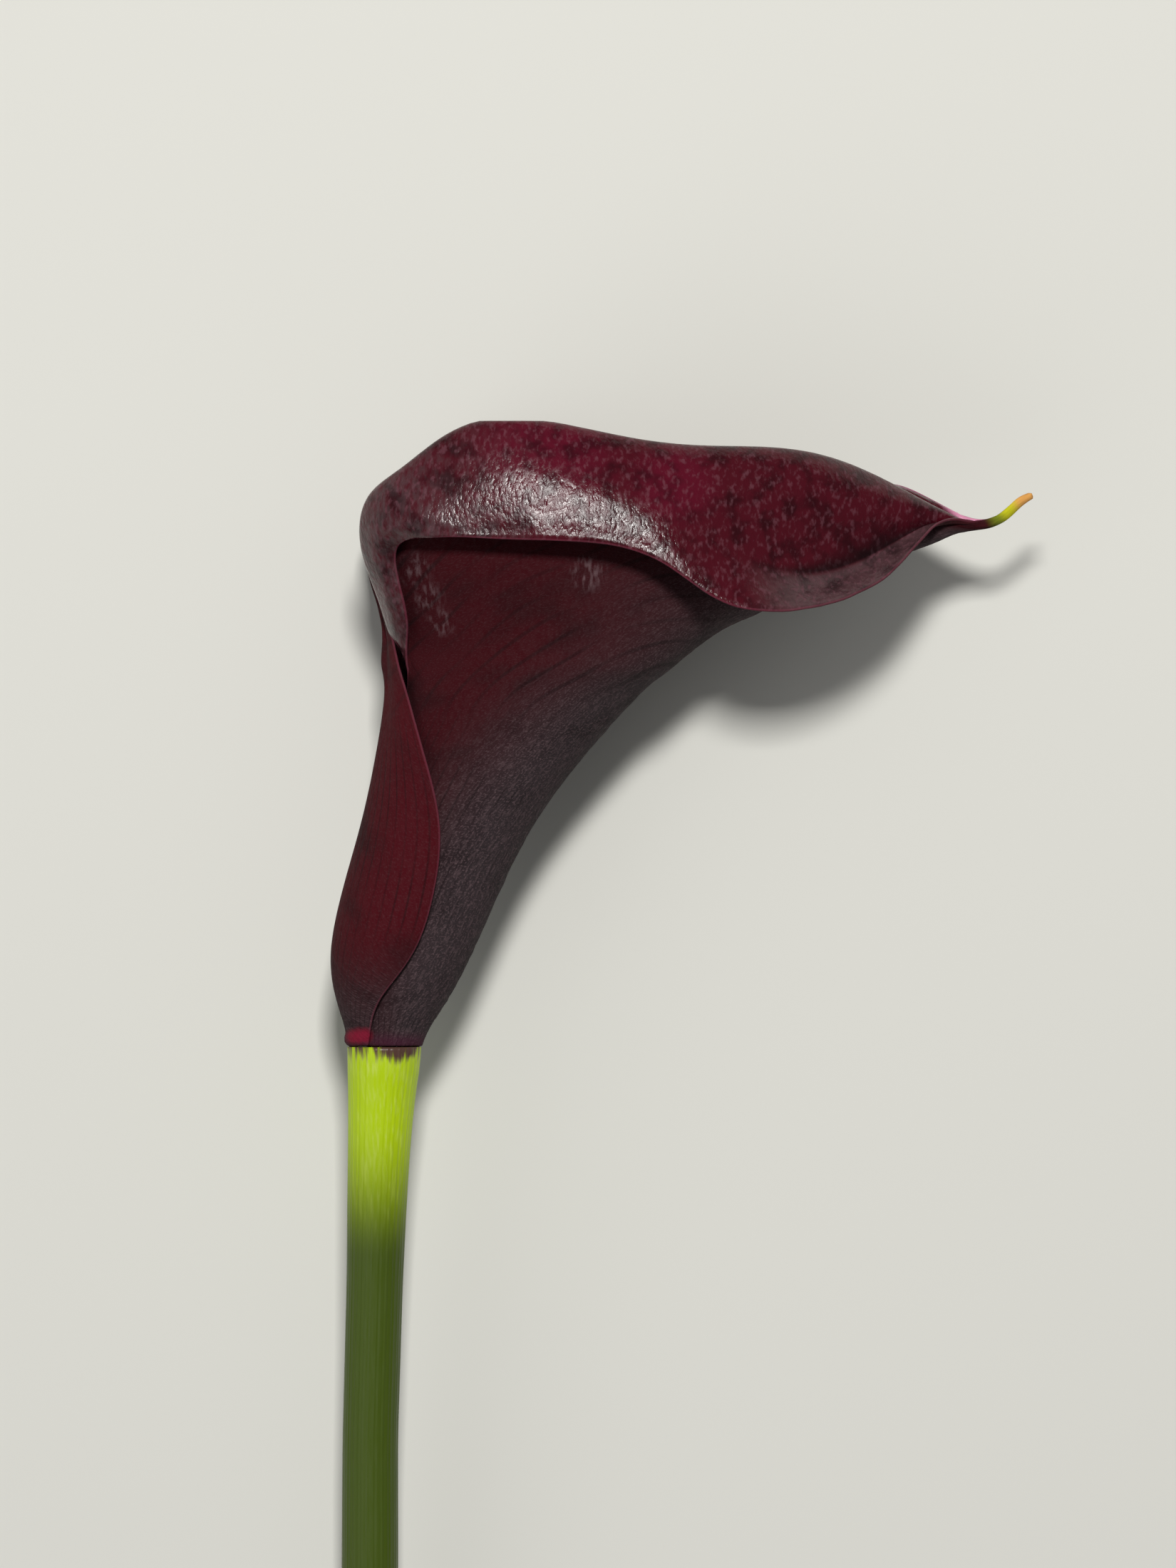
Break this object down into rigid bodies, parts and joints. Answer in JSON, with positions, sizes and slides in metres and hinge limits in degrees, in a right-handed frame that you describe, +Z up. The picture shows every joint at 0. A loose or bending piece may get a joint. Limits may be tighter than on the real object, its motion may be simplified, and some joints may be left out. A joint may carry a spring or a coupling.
{
  "type": "calla lily flower",
  "caption": "Cut calla lily lying on its side: one rolled, flaring spathe with a reflexed lip and curled tail, a hidden spadix, and a straight bare stem.",
  "frame": {"origin": "on the floor plane, at the middle of the footprint of the flower as it lies", "axes": "+Y runs from the cut end of the stem toward the flower's mouth, +X toward the tail of the spathe, +Z up from the surface the flower lies on"},
  "size_m": [0.0988, 0.2628, 0.0449],
  "materials": {
    "spathe": "velvety outside, satin inside the lip",
    "spadix": "matte, closely packed florets",
    "stem": "smooth satin with fine lengthwise ribs"
  },
  "bodies": {
    "root": {"spathe": "spathe", "spadix": "spadix", "stem": "stem"}
  },
  "joints": []
}
